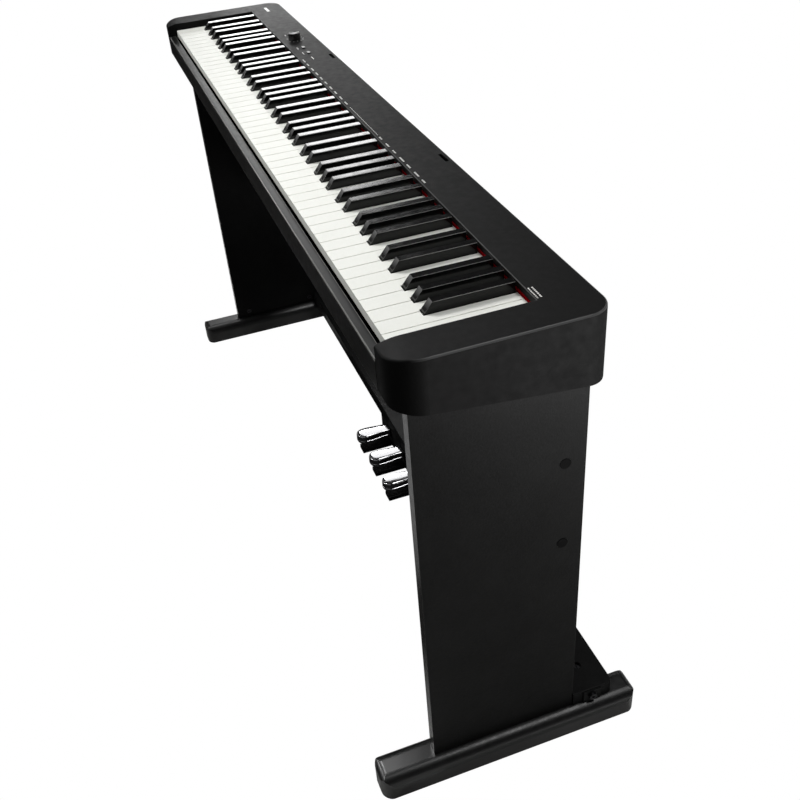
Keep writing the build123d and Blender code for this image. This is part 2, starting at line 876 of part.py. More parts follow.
def barrel_nut(side, y, gap):
    inner = side * (panel_inner - gap)
    outer = side * (panel_inner + nut_length + gap)
    return along_x(inner, outer, y, nut_z, nut_diameter + 2 * gap)


def bracket_places():
    rows = (panel_front + bracket_inset, panel_rear - bracket_inset)
    return [(side, y) for side in (-1, 1) for y in rows]


def on_underside(side, y, solid):
    """Put a solid made at the panel's inner top corner on the body's sloping underside."""
    return Pos(side * panel_inner, y, underside(y)) * Rot(-slope_angle, 0, 0) * solid


def bracket(side):
    half = bracket_width / 2
    x0, x1 = sorted((0, -side * bracket_leg))
    w0, w1 = sorted((0, -side * bracket_thickness))
    flat = block(x0, x1, -half, half, -bracket_thickness, 0)
    return flat + block(w0, w1, -half, half, -bracket_leg, 0)


def small_screw(gap):
    """Screw along +Z with its head below the origin."""
    low = -bracket_screw_head_height
    shank = upright(0, 0, low, bracket_screw_length + gap, bracket_screw_diameter + 2 * gap)
    return shank + upright(0, 0, low, 0, bracket_screw_head + 2 * gap)


def bracket_screw_down(side, y, gap):
    """Screw up through the flat leg into the body's floor."""
    place = Pos(-side * bracket_screw_run, 0, -bracket_thickness)
    return on_underside(side, y, place * small_screw(gap))


def bracket_screw_side(side, y, gap):
    """Screw through the upright leg into the panel."""
    place = Pos(-side * bracket_thickness, 0, -bracket_screw_run) * Rot(0, 90 * side, 0)
    return on_underside(side, y, place * small_screw(gap))


def make_bracket(side, y):
    angle = on_underside(side, y, bracket(side))
    return angle - bracket_screw_down(side, y, screw_gap) - bracket_screw_side(side, y, screw_gap)


def make_side_panel(side):
    outline = [
        (panel_front, foot_top),
        (panel_rear, foot_top),
        (panel_rear, underside(panel_rear)),
        (panel_front, underside(panel_front)),
    ]
    x0, x1 = sorted((side * panel_inner, side * panel_outer))
    solid = profile(outline, x0, x1)
    for z in back_bolt_rows():
        solid = solid - back_bolt(side, z, screw_gap) - panel_cap(side, z, screw_gap)
    for y in foot_bolt_rows():
        solid = solid - foot_bolt(side, y, screw_gap) - barrel_nut(side, y, screw_gap)
    for place, y in bracket_places():
        if place == side:
            solid -= bracket_screw_side(side, y, screw_gap)
    return solid


def rounded_top(width, height, top_radius, bottom_radius):
    outline = Rectangle(width, height)
    outline = fillet(outline.vertices().sort_by(Axis.Y)[-2:], top_radius)
    return fillet(outline.vertices().sort_by(Axis.Y)[:2], bottom_radius)


def make_foot(side):
    """Rail with a broadly rounded top, tighter ends and rounded corners."""
    plan = RectangleRounded(foot_width, foot_length, foot_corner_radius)
    across = rounded_top(foot_width, foot_height, foot_top_radius, foot_bottom_radius)
    along = rounded_top(foot_length, foot_height, foot_end_radius, foot_bottom_radius)
    middle = glide_height + foot_height / 2
    solid = plate(plan, glide_height, foot_top)
    solid &= Pos(0, 0, middle) * extrude(Plane.XZ * across, amount=foot_length, both=True)
    solid &= Pos(0, 0, middle) * extrude(Plane.YZ * along, amount=foot_width, both=True)
    solid = Pos(side * panel_middle, 0, 0) * solid
    for y in foot_bolt_rows():
        solid -= foot_bolt(side, y, screw_gap)
        solid -= upright(side * panel_middle, y, 0, foot_bolt_seat, bolt_head_diameter + 2 * fit_gap)
    return solid - end_screw(side, screw_gap)


def make_foot_glides():
    pads = []
    reach = foot_length / 2 - glide_inset - glide_length / 2
    for side in (-1, 1):
        for end in (-1, 1):
            pad = RectangleRounded(glide_width, glide_length, glide_width / 6)
            pads.append(Pos(side * panel_middle, end * reach, 0) * plate(pad, 0, glide_height))
    return pads


def make_back_board():
    y = back_board_y()
    z = back_board_middle
    half = back_board_thickness / 2
    reach = back_board_height / 2
    solid = block(-panel_inner, panel_inner, y - half, y + half, z - reach, z + reach)
    for side in (-1, 1):
        for row in back_bolt_rows():
            solid -= back_bolt(side, row, screw_gap)
    return solid


def make_pedal_board():
    plan = rounded_plan(board_half_length, board_front, board_rear, board_edge_radius, board_corner_radius)
    solid = plate(plan, foot_top, board_top)
    solid = fillet(solid.edges().group_by(Axis.Z)[-1], board_edge_radius)
    for side in (-1, 1):
        x0, x1 = sorted((side * (panel_inner - notch_gap), side * (board_half_length + 1)))
        solid -= block(x0, x1, board_front - 1, panel_rear + notch_gap, 0, board_top + 1)
        nut_hole = nut_diameter + 2 * board_nut_gap
        low = board_bolt_z - nut_length / 2
        solid -= upright(side * board_nut_x, board_bolt_y, low, board_top + cap_proud, nut_hole)
        solid = solid - board_bolt(side, screw_gap) - end_screw(side, fit_gap) - end_bracket(side, screw_gap)
    return solid


def pedal_places():
    return [index * pedal_pitch for index in (-1, 0, 1)]


def rib_places():
    return [(index - 1.5) * pedal_pitch for index in range(4)]


def make_pedal_box():
    half = box_half_length
    inner = half - box_wall
    low = base_thickness
    front = board_front + box_wall
    rear = board_rear - box_wall
    top = foot_top - box_wall
    solid = block(-half, half, board_front, board_rear, low, foot_top)
    solid -= block(-inner, inner, front, rear, low - box_wall, top)
    slot = pedal_neck_width / 2 + pedal_slot_gap
    drop = (pedal_pivot_y - board_front) * tan(radians(pedal_angle)) + pedal_slot_gap
    for x in pedal_places():
        solid -= block(x - slot, x + slot, board_front - box_wall, front + box_wall, pedal_bottom - drop, top)
    rib = rib_thickness / 2
    for x in rib_places():
        solid += block(x - rib, x + rib, pedal_pivot_y - rod_diameter, rear, low, top)
    reach = rib_places()[-1] + rib_thickness
    return solid - along_x(-reach, reach, pedal_pivot_y, pedal_pivot_height, rod_diameter + 2 * screw_gap)


def make_pedal_base():
    half = box_half_length
    solid = block(-half, half, board_front, board_rear, 0, base_thickness)
    for x in pedal_places():
        y0 = board_front - rest_reach
        solid += block(x - rest_width / 2, x + rest_width / 2, y0, board_front, 0, rest_height)
    return solid


def make_pedal(x):
    """Paddle with a round nose, narrowing to the lever that turns on the rod."""
    nose = pedal_width / 2
    neck = pedal_neck_width / 2
    root = pedal_tip + paddle_length
    outline = [
        ThreePointArc((-nose, pedal_tip + nose), (0, pedal_tip), (nose, pedal_tip + nose)),
        Line((nose, pedal_tip + nose), (neck, root)),
        Line((neck, root), (-neck, root)),
        Line((-neck, root), (-nose, pedal_tip + nose)),
    ]
    paddle = plate(make_face(outline), pedal_bottom, pedal_top)
    paddle = fillet(paddle.edges().group_by(Axis.Z)[-1], pedal_edge_radius)
    half = lever_width / 2
    lever_top = pedal_bottom + lever_thickness
    lever_start = root - 2 * pedal_edge_radius
    front = pedal_pivot_y - rod_diameter
    rear = pedal_pivot_y + rod_diameter
    lever = block(-half, half, lever_start, rear, pedal_bottom, lever_top)
    boss = block(-half, half, front, rear, pedal_bottom, pedal_pivot_height + rod_diameter)
    bore = along_x(-lever_width, lever_width, pedal_pivot_y, pedal_pivot_height, rod_diameter + 2 * fit_gap)
    return Pos(x, 0, 0) * (paddle + lever + boss - bore)


def make_pedal_rod():
    reach = rib_places()[-1] + rib_thickness
    return along_x(-reach + fit_gap, reach - fit_gap, pedal_pivot_y, pedal_pivot_height, rod_diameter)


def make_pedal_spring(x):
    y = pedal_pivot_y - spring_run
    tube = upright(x, y, base_thickness, pedal_bottom - fit_gap, spring_diameter)
    return tube - upright(x, y, 0, pedal_top, spring_diameter - 2 * spring_wire)


def save(name, solids):
    shape = solids if not isinstance(solids, list) else Compound(children=[piece.solid() for piece in solids])
    export_step(shape, os.path.join("parts", name + ".step"))


os.makedirs("parts", exist_ok=True)

save("top_case", make_top_case())
save("bottom_case", make_bottom_case())
save("key_slip", make_key_slip())
save("key_chassis", make_key_chassis())
save("key_sensor_board", make_key_sensor_board())
save("key_contact_strip", make_key_contact_strip())
save("key_felts", [make_key_felt_strip(), make_key_stop_felt()])
for group_name, keys in key_groups().items():
    save(group_name, keys)
save("power_button", make_power_button())
save("function_button", make_function_button(button_places()[0]))
save("tempo_button", make_function_button(button_places()[1]))
save("volume_knob", make_volume_knob())
save("volume_pot", make_volume_pot())
save("panel_board", make_panel_board())
save("main_board", make_main_board())
save("speakers", [make_speaker(side) for side in (-1, 1)])
save("rear_jacks", make_rear_jacks())
save("case_screws", make_case_screws())
save("left_side_panel", make_side_panel(-1))
save("right_side_panel", make_side_panel(1))
save("left_foot", make_foot(-1))
save("right_foot", make_foot(1))
save("foot_glides", make_foot_glides())
save("back_board", make_back_board())
bolts = [back_bolt(side, z, 0) for side in (-1, 1) for z in back_bolt_rows()]
bolts += [foot_bolt(side, y, 0) for side in (-1, 1) for y in foot_bolt_rows()]
save("stand_bolts", bolts + [board_bolt(side, 0) for side in (-1, 1)])
nuts = [barrel_nut(side, y, 0) - foot_bolt(side, y, screw_gap) for side in (-1, 1) for y in foot_bolt_rows()]
save("barrel_nuts", nuts + [board_nut(side) for side in (-1, 1)])
save("screw_caps", [panel_cap(side, z, 0) for side in (-1, 1) for z in back_bolt_rows()])
save("body_brackets", [make_bracket(side, y) for side, y in bracket_places()])
screws = [bracket_screw_down(side, y, 0) for side, y in bracket_places()]
screws += [bracket_screw_side(side, y, 0) for side, y in bracket_places()]
save("bracket_screws", screws + [end_screw(side, 0) for side in (-1, 1)])
save("board_brackets", [make_end_bracket(side) for side in (-1, 1)])
save("pedal_board", make_pedal_board())
save("pedal_box", make_pedal_box())
save("pedal_base", make_pedal_base())
save("pedal_rod", make_pedal_rod())
for pedal_name, pedal_x in zip(("soft", "sostenuto", "damper"), pedal_places()):
    save(pedal_name + "_pedal", make_pedal(pedal_x))
    save(pedal_name + "_spring", make_pedal_spring(pedal_x))
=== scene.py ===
import math
import random

import bpy
from mathutils import Matrix, Quaternion, Vector


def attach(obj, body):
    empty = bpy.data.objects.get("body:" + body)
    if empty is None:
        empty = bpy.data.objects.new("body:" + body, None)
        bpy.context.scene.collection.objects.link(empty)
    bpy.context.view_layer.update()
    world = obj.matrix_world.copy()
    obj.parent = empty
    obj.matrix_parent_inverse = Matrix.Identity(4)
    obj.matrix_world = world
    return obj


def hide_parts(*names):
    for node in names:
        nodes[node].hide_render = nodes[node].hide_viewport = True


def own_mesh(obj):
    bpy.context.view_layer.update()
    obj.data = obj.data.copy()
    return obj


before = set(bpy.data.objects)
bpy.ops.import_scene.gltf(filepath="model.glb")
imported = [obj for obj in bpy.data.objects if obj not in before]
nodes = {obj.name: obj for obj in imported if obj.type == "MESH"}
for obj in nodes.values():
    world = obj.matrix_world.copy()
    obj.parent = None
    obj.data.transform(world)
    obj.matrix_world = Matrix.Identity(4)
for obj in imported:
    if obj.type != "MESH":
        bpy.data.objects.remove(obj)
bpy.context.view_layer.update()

mm = 0.001
caseBody = "stand_and_case"
random.seed(23)
print("stage: frame loaded")


def colour(hexText):  # sRGB hex to linear
    parts = [int(hexText[i:i + 2], 16) / 255 for i in (1, 3, 5)]
    return [p / 12.92 if p <= 0.04045 else ((p + 0.055) / 1.055) ** 2.4 for p in parts] + [1.0]


def addNode(tree, kind, settings=None, links=None):
    node = tree.nodes.new(kind)
    for key, value in (settings or {}).items():
        if isinstance(key, str) and hasattr(node, key):
            setattr(node, key, value)
        else:
            node.inputs[key].default_value = value
    for key, (source, output) in (links or {}).items():
        tree.links.new(source.outputs[output], node.inputs[key])
    return node


def newMaterial(name):
    material = bpy.data.materials.new(name)
    material.use_nodes = True
    tree = material.node_tree
    tree.nodes.clear()
    place = addNode(tree, "ShaderNodeTexCoord")
    shader = addNode(tree, "ShaderNodeBsdfPrincipled")
    addNode(tree, "ShaderNodeOutputMaterial", links={"Surface": (shader, "BSDF")})
    return material, tree, place, shader


surfaceSettings = {
    "cloud": 60, "wear": 9,  # mm, size of the clouds in the tone and of the worn patches
    "smoother": 0.04, "rougher": 0.05,  # how far the roughness strays
    "low": 0.3, "high": 0.7, "detail": 3.0,  # part of the noise that is used
    "depth": 0.06,  # mm of relief in the bump
    "flat": (0.96, 0.995), "steep": (0.35, 0.15),  # a face's tilt where it stops counting as an edge
    "fade": 0.01, "stripFade": 0.0001,  # metres over which the painted highlight along an edge ends
}


def per(size):  # noise scale for a feature of this many mm
    return 1 / (size * mm)


def speckle(tree, place, size, low, high, stretch=(1, 1, 1)):  # mottled value from low to high
    s = surfaceSettings
    mapped = addNode(tree, "ShaderNodeMapping", {"Scale": stretch}, {"Vector": (place, "Object")})
    noise = addNode(tree, "ShaderNodeTexNoise", {"Scale": per(size), "Detail": s["detail"]},
                    {"Vector": (mapped, "Vector")})
    return addNode(tree, "ShaderNodeMapRange",
                   {"From Min": s["low"], "From Max": s["high"], "To Min": low, "To Max": high},
                   {"Value": (noise, "Fac")})


def moulded(name, dark, light, rough, grain, relief, stretch=(1, 1, 1), extra=None, front=None, rimAndHighlight=None):
    s = surfaceSettings
    material, tree, place, shader = newMaterial(name)
    cloud = speckle(tree, place, s["cloud"], 0.0, 1.0)
    texture = speckle(tree, place, grain, 0.0, 1.0, stretch)
    fleck = addNode(tree, "ShaderNodeMix", {0: 0.5}, {2: (cloud, "Result"), 3: (texture, "Result")})
    tone = addNode(tree, "ShaderNodeMix", {"data_type": "RGBA", 6: colour(dark), 7: colour(light)},
                   {0: (fleck, 0)})
    wear = speckle(tree, place, s["wear"], rough - s["smoother"], rough + s["rougher"])
    bump = addNode(tree, "ShaderNodeBump", {"Strength": relief, "Distance": s["depth"] * mm},
                   {"Height": (texture, "Result")})
    spot = addNode(tree, "ShaderNodeSeparateXYZ", links={"Vector": (place, "Object")})
    if front:  # another colour on the player's side of the piece
        ahead = addNode(tree, "ShaderNodeMath", {"operation": "LESS_THAN", 1: 0.0}, {0: (spot, "Y")})
        tone = addNode(tree, "ShaderNodeMix", {"data_type": "RGBA", 7: colour(front)},
                       {0: (ahead, "Value"), 6: (tone, 2)})
    if rimAndHighlight:  # rounded upper edges rubbed smooth, and lightened with a painted highlight
        shape = addNode(tree, "ShaderNodeNewGeometry")
        facing = addNode(tree, "ShaderNodeSeparateXYZ", links={"Vector": (shape, "Normal")})
        flat = addNode(tree, "ShaderNodeMapRange", {"From Min": s["flat"][0], "From Max": s["flat"][1]},
                       {"Value": (facing, "Z")})
        steep = addNode(tree, "ShaderNodeMapRange", {"From Min": s["steep"][0], "From Max": s["steep"][1]},
                        {"Value": (facing, "Z")})
        if "strip" in rimAndHighlight:  # the uppermost strip of a steep side gets the painted highlight too
            edge, fade = rimAndHighlight["strip"], s["stripFade"]
            below = addNode(tree, "ShaderNodeMapRange", {"From Min": edge + fade, "From Max": edge - fade},
                            {"Value": (spot, "Z")})
            steep = addNode(tree, "ShaderNodeMapRange",
                            links={"Value": (steep, "Result"), "To Max": (below, "Result")})
        edge, fade = rimAndHighlight["front"], s["fade"]
        ahead = addNode(tree, "ShaderNodeMapRange", {"From Min": edge + fade, "From Max": edge - fade},
                        {"Value": (spot, "Y")})
        tilted = addNode(tree, "ShaderNodeMath", {"operation": "MAXIMUM"},
                         {0: (flat, "Result"), 1: (steep, "Result")})
        plain = addNode(tree, "ShaderNodeMath", {"operation": "MAXIMUM"},
                        {0: (tilted, "Value"), 1: (ahead, "Result")})
        wear = addNode(tree, "ShaderNodeMapRange", {"To Min": rimAndHighlight["rough"]},
                       {"Value": (plain, "Value"), "To Max": (wear, "Result")})
        # painted highlight: a lighter shade mixed in along the rounded edges
        tone = addNode(tree, "ShaderNodeMix", {"data_type": "RGBA", 6: colour(rimAndHighlight["shade"])},
                       {0: (plain, "Value"), 7: (tone, 2)})
    tree.links.new(tone.outputs[2], shader.inputs["Base Color"])
    tree.links.new(wear.outputs["Result"], shader.inputs["Roughness"])
    tree.links.new(bump.outputs["Normal"], shader.inputs["Normal"])
    for key, value in (extra or {}).items():
        shader.inputs[key].default_value = value
    return material


def plated(name, tint, rough, grain, relief):
    return moulded(name, tint, tint, rough, grain, relief, extra={"Metallic": 1.0})


# name, darker and lighter tone, roughness, grain in mm, relief
# moulded grain is really about 0.1 mm, and is drawn coarser so that it shows
sparkErodedBlack = moulded(  # satin sheen, fine grain, painted highlight along the edges
    "black ABS, spark-eroded mould", "#0c0c0c", "#111111", 0.56, 0.7, 0.3,
    extra={"Specular IOR Level": 0.09}, rimAndHighlight={"rough": 0.12, "shade": "#545454", "front": -0.105})
slipGrey = moulded(  # a shade lighter than the case, with a painted highlight along its edges
    "dark grey ABS, satin mould", "#141414", "#191918", 0.33, 0.7, 0.12,
    extra={"Specular IOR Level": 0.22}, rimAndHighlight={"rough": 0.12, "shade": "#828280", "front": -1.0})
keyIvory = moulded(  # clean, with a soft sheen
    "off-white acrylic, satin-moulded", "#e9eae3", "#eeefe9", 0.48, 4.0, 0.04,
    extra={"Specular IOR Level": 0.3})
keyEbony = moulded(  # grain along the key, painted highlight along the upper edges
    "black ABS, brushed mould", "#080808", "#0c0c0c", 0.15, 0.9, 0.08, (1, 0.06, 1),
    {"Specular IOR Level": 0.25}, rimAndHighlight={"rough": 0.12, "shade": "#a4a4a4", "front": -0.056, "strip": 0.6892})
buttonBlack = moulded(  # smoother than the panel
    "black ABS, smooth mould", "#0b0b0b", "#101010", 0.30, 0.8, 0.10, extra={"Specular IOR Level": 0.15})
feltRed = moulded(  # dull with a soft edge, black in front
    "red wool felt, pressed", "#5c0308", "#78040b", 0.95, 0.5, 1.0,
    extra={"Specular IOR Level": 0.0}, front="#0e0e0e")
laminateBlack = moulded(  # mottled, dull
    "black melamine laminate, pore-pressed", "#0a0a0a", "#181818", 0.38, 2.2, 0.8,
    extra={"Specular IOR Level": 0.1})
bandBlack = moulded(  # lighter line on the board, a painted highlight along the panel's edges
    "black edge banding, extruded", "#2e2e2d", "#363635", 0.22, 1.0, 0.2, (1, 1, 0.1))
footBlack = moulded(  # bright line on rounded edges
    "black foil over MDF, vacuum-pressed", "#0b0b0b", "#101010", 0.33, 2.5, 0.06,
    extra={"Specular IOR Level": 0.6})
capBlack = moulded(  # flat dark dot
    "black nylon, moulded cap", "#070707", "#0a0a0a", 0.55, 0.8, 0.2, extra={"Specular IOR Level": 0.05})
rubberBlack = moulded(  # no shine
    "black rubber, die-cut", "#121212", "#191919", 0.85, 0.6, 0.4)
restBlack = moulded(  # near black under the chrome
    "black ABS, coarse mould", "#050505", "#080808", 0.70, 0.9, 0.3, extra={"Specular IOR Level": 0.15})
boxBlack = moulded(  # plain satin on the pedal box
    "black ABS, plain mould", "#0c0c0c", "#121212", 0.45, 0.9, 0.25)
chassisGrey = moulded(  # dull grey key bed, hardly seen
    "dark grey ABS, natural mould", "#181818", "#1e1e1e", 0.55, 0.9, 0.2)
maskGreen = moulded(  # glossy green boards
    "green solder mask on glass epoxy", "#0f3d22", "#14502c", 0.30, 1.2, 0.15)
basketBlack = moulded(  # even dark coat on speakers and brackets
    "black e-coat on stamped steel", "#0c0c0c", "#121212", 0.40, 1.0, 0.1, extra={"Specular IOR Level": 0.15})
inkWhite = moulded(  # thin pale marks
    "white ink, pad-printed", "#d9d9d6", "#e4e4e1", 0.60, 0.4, 0.1)
chromeBright = plated(  # mirror with a faint wave
    "nickel chrome plate, polished", "#dcdcde", 0.11, 6.0, 0.03)
oxideBlack = plated(  # dark metal, faint glint
    "black oxide on steel, tumbled", "#3c3c3e", 0.38, 0.8, 0.2)
zincGrey = plated(  # dull grey metal
    "zinc plate, barrel-finished", "#b4b5b0", 0.34, 0.8, 0.2)
print("stage: materials")


def meshPiece(name, verts, faces, material, body, smooth=False):
    mesh = bpy.data.meshes.new(name)
    mesh.from_pydata([[c * mm for c in v] for v in verts], [], faces)
    mesh.update()
    mesh.polygons.foreach_set("use_smooth", [smooth] * len(mesh.polygons))
    piece = bpy.data.objects.new(name, mesh)
    bpy.context.scene.collection.objects.link(piece)
    mesh.materials.append(material)
    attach(piece, body)
    return piece


def boxMesh(x0, x1, y0, y1, z0, z1, start):
    verts = [(x, y, z) for z in (z0, z1) for y in (y0, y1) for x in (x0, x1)]
    quads = [(0, 2, 3, 1), (4, 5, 7, 6), (0, 1, 5, 4), (2, 6, 7, 3), (0, 4, 6, 2), (1, 3, 7, 5)]
    return verts, [tuple(start + i for i in q) for q in quads]


def boxes(name, spans, material, body):
    verts, faces = [], []
    for span in spans:
        moreVerts, moreFaces = boxMesh(*span, len(verts))
        verts += moreVerts
        faces += moreFaces
    return meshPiece(name, verts, faces, material, body)


edgeSettings = {"weld": 0.01, "segments": 3, "angle": 40}  # mm, rows of faces, degrees


def rounded(piece, width):  # soft edges on a sharp piece
    s = edgeSettings
    weld = piece.modifiers.new("weld", "WELD")
    weld.merge_threshold = s["weld"] * mm
    bevel = piece.modifiers.new("edges", "BEVEL")
    bevel.width = width * mm
    bevel.segments = s["segments"]
    bevel.limit_method = "ANGLE"
    bevel.angle_limit = math.radians(s["angle"])
    bevel.use_clamp_overlap = True
    piece.modifiers.new("normals", "WEIGHTED_NORMAL").keep_sharp = False
    piece.data.polygons.foreach_set("use_smooth", [True] * len(piece.data.polygons))


def dress(name, material, edge):
    piece = nodes[name]
    piece.data.materials.clear()
    piece.data.materials.append(material)
    if edge:
        rounded(piece, edge)


finishSettings = [  # nodes, material, edge in mm (0 leaves the edge as it is)
    ([n for n in nodes if n.startswith("white_keys")], keyIvory, 0.7),
    ([n for n in nodes if n.startswith("black_keys")], keyEbony, 0.9),
    (["top_case", "bottom_case"], sparkErodedBlack, 0),
    (["key_slip"], slipGrey, 1.0),
    (["key_chassis"], chassisGrey, 0),
    (["key_felts"], feltRed, 0.5),
    (["key_sensor_board", "panel_board", "main_board"], maskGreen, 0),
    (["key_contact_strip", "foot_glides"], rubberBlack, 0),
    (["power_button", "function_button", "tempo_button"], buttonBlack, 0.3),
    (["volume_pot", "case_screws", "bracket_screws", "pedal_rod"], zincGrey, 0),
    (["stand_bolts", "barrel_nuts"], oxideBlack, 0),
    (["speakers", "body_brackets", "board_brackets"], basketBlack, 0),
    (["rear_jacks"], buttonBlack, 0),
    (["left_side_panel", "right_side_panel", "back_board", "pedal_board"], laminateBlack, 0.6),
    (["left_foot", "right_foot"], footBlack, 0),
    (["screw_caps"], capBlack, 0.4),
    (["pedal_box"], boxBlack, 1.0),
    (["pedal_base"], restBlack, 1.0),
]
for names, material, edge in finishSettings:
    for name in names:
        dress(name, material, edge)
print("stage: CAD nodes dressed")

pedalSettings = {  # mm
    "places": (("soft", -74.0), ("sostenuto", 0.0), ("damper", 74.0)),
    "tip": 6.5, "root": 70.0, "top": 42.0, "bottom": 25.0,
    "nose": 15.4, "neck": 12.4, "taper": (18, 40),  # half widths, and where the neck starts and over how much
    "noseReach": 6.0, "noseSink": 4.5, "soleRise": 3.0,  # rounding of the front end
    "fall": 1.2, "fallRun": (20, 40),  # slope of the top towards the root
    "stations": 40, "steps": 8, "first": 0.12,  # cross-sections, points on each curve, start behind the tip
    "crown": 0.7, "roll": 2.8, "rollDrop": 4.0,  # swell of the top, width and depth of its rounded edge
    "lip": 1.1, "lipHeight": 5.0, "lipShare": 0.35,  # width and height of the skirt, most of the height it takes
    # share of the lip's width, with the height over its ledge or over the underside
    "lipProfile": ((0, 0.2), (0.1, 0), (0.5, 0), (0.9, 0), (1, -0.3)),
    "soleProfile": ((1, 0.5), (0.6, 0)),
    # half width of the bar to the rod, and the spans in y and z of the bar and of the plates round the rod
    "lever": 8.0,
    "leverSpans": ((58.0, 133.0, 31.2, 34.0), (132.0, 144.0, 25, 27), (132.0, 144.0, 33.4, 36)),
}
coilSettings = {"y": 98.0, "low": 4.1, "high": 23.6, "radius": 4.4, "wire": 1.0,  # mm, wire is half its width
                "turns": 6, "steps": 24, "ring": 8}


def ease(t):
    t = min(max(t, 0.0), 1.0)
    return t * t * (3 - 2 * t)


def arc(t):  # quarter circle from 0 to 1
    return math.sqrt(max(1 - (1 - min(t, 1.0)) ** 2, 0.0))


def paddleHalf(half, top, bottom, s):  # outline from the middle of the top to the middle of the underside
    roll = s["roll"] * half / s["nose"]
    half -= s["lip"] * half / s["nose"]
    lip = s["lip"] * half / s["nose"]
    drop = s["rollDrop"] * (top - bottom) / (s["top"] - s["bottom"])
    n = s["steps"]
    points = [((half - roll) * k / n, top - s["crown"] * (k / n) ** 2) for k in range(n)]
    for k in range(n + 1):
        a = math.radians(90 * k / n)
        points.append((half - roll + roll * math.sin(a), top - s["crown"] - drop * (1 - math.cos(a))))
    ledge = bottom + min(s["lipHeight"], (top - bottom) * s["lipShare"])
    points += [(half + lip * out, ledge + up) for out, up in s["lipProfile"]]
    points += [(half + lip * out, bottom + up) for out, up in s["soleProfile"]]
    return points + [(half * 0.5, bottom), (0, bottom)]


def paddle(pedalName, x, s):
    verts, faces = [], []
    length = s["root"] - s["tip"] - s["first"]
    for i in range(s["stations"] + 1):
        t = i / s["stations"]
        d = s["first"] + length * (t * t if t < 0.5 else 0.25 + (t - 0.5) * 1.5)  # closer stations at the nose
        taper = ease((d - s["taper"][0]) / s["taper"][1])
        half = s["nose"] * arc(d / s["nose"]) - (s["nose"] - s["neck"]) * taper
        dip = 1 - arc(d / s["noseReach"])
        top = s["top"] - s["noseSink"] * dip - s["fall"] * ease((d - s["fallRun"][0]) / s["fallRun"][1])
        right = paddleHalf(half, top, s["bottom"] + s["soleRise"] * dip, s)
        outline = right + [(-px, pz) for px, pz in right[-2:0:-1]]
        verts += [(x + px, s["tip"] + d, pz) for px, pz in outline]
    ring = len(outline)
    for i in range(s["stations"]):
        for k in range(ring):
            a, b = i * ring + k, i * ring + (k + 1) % ring
            faces.append((a, a + ring, b + ring, b))
    faces.append(tuple(range(ring)))
    faces.append(tuple(s["stations"] * ring + k for k in range(ring - 1, -1, -1)))
    return meshPiece(pedalName + "Paddle", verts, faces, chromeBright, pedalName + "_pedal", smooth=True)


def coil(name, x, body, s):
    verts, faces = [], []
    count = s["turns"] * s["steps"]
    for i in range(count + 1):
        a = 2 * math.pi * i / s["steps"]
        z = s["low"] + (s["high"] - s["low"]) * i / count
        for k in range(s["ring"]):
            b = 2 * math.pi * k / s["ring"]
            r = s["radius"] + s["wire"] * math.cos(b)
            verts.append((x + r * math.cos(a), s["y"] + r * math.sin(a), z + s["wire"] * math.sin(b)))
    for i in range(count):
        for k in range(s["ring"]):
            p, q = i * s["ring"] + k, i * s["ring"] + (k + 1) % s["ring"]
            faces.append((p, q, q + s["ring"], p + s["ring"]))
    return meshPiece(name, verts, faces, zincGrey, body, smooth=True)


s = pedalSettings
for pedalName, x in s["places"]:
    blade = paddle(pedalName, x, s)
    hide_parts(pedalName + "_pedal")
    spans = [(x - s["lever"], x + s["lever"]) + span for span in s["leverSpans"]]
    boxes(pedalName + "Lever", spans, zincGrey, pedalName + "_pedal")
    spring = coil(pedalName + "Coil", x, caseBody, coilSettings)
    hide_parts(pedalName + "_spring")
    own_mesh(spring)
print("stage: pedals")

knobSettings = {  # mm
    "x": -378.0, "y": 55.0, "low": 690.5, "height": 11.0, "radius": 11.0,
    "ribs": 30, "ribDepth": 0.28, "around": 240,
    # share of the radius, height, share of the ribs
    "rings": ((1.0, 0.0, 0.0), (1.0, 0.6, 0.0), (0.955, 1.2, 1.0), (0.94, 9.2, 1.0), (0.90, 10.2, 0.6),
              (0.82, 10.8, 0.0), (0.74, 11.0, 0.0), (0.70, 10.7, 0.0), (0.30, 10.5, 0.0)),
    "pointer": (0.5, 3.5, 9.0, 10.2),  # half width, from and to, underside
    "shaft": (2.6, 1.5, 677.4),  # half width along and across the flat, lower end
}


def knob(s):
    verts, faces = [], []
    n, rings = s["around"], s["rings"]
    for share, z, rib in rings:
        for k in range(n):
            a = 2 * math.pi * k / n
            r = s["radius"] * share - rib * s["ribDepth"] * (1 + math.cos(s["ribs"] * a))
            verts.append((s["x"] + r * math.cos(a), s["y"] + r * math.sin(a), s["low"] + z))
    for i in range(len(rings) - 1):
        for k in range(n):
            a, b = i * n + k, i * n + (k + 1) % n
            faces.append((a, b, b + n, a + n))
    faces.append(tuple((len(rings) - 1) * n + k for k in range(n)))
    faces.append(tuple(range(n - 1, -1, -1)))
    return meshPiece("volumeKnobCap", verts, faces, buttonBlack, "volume_knob", smooth=True)


s = knobSettings
cap = knob(s)
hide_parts("volume_knob")
half, near, far, low = s["pointer"]
pointer = (s["x"] - half, s["x"] + half, s["y"] + near, s["y"] + far, s["low"] + low, s["low"] + s["height"])
boxes("volumePointer", [pointer], inkWhite, "volume_knob")
half, across, low = s["shaft"]
shaft = (s["x"] - half, s["x"] + half, s["y"] - across, s["y"] + across, low, s["low"])
boxes("volumeShaft", [shaft], zincGrey, "volume_knob")
print("stage: knob")

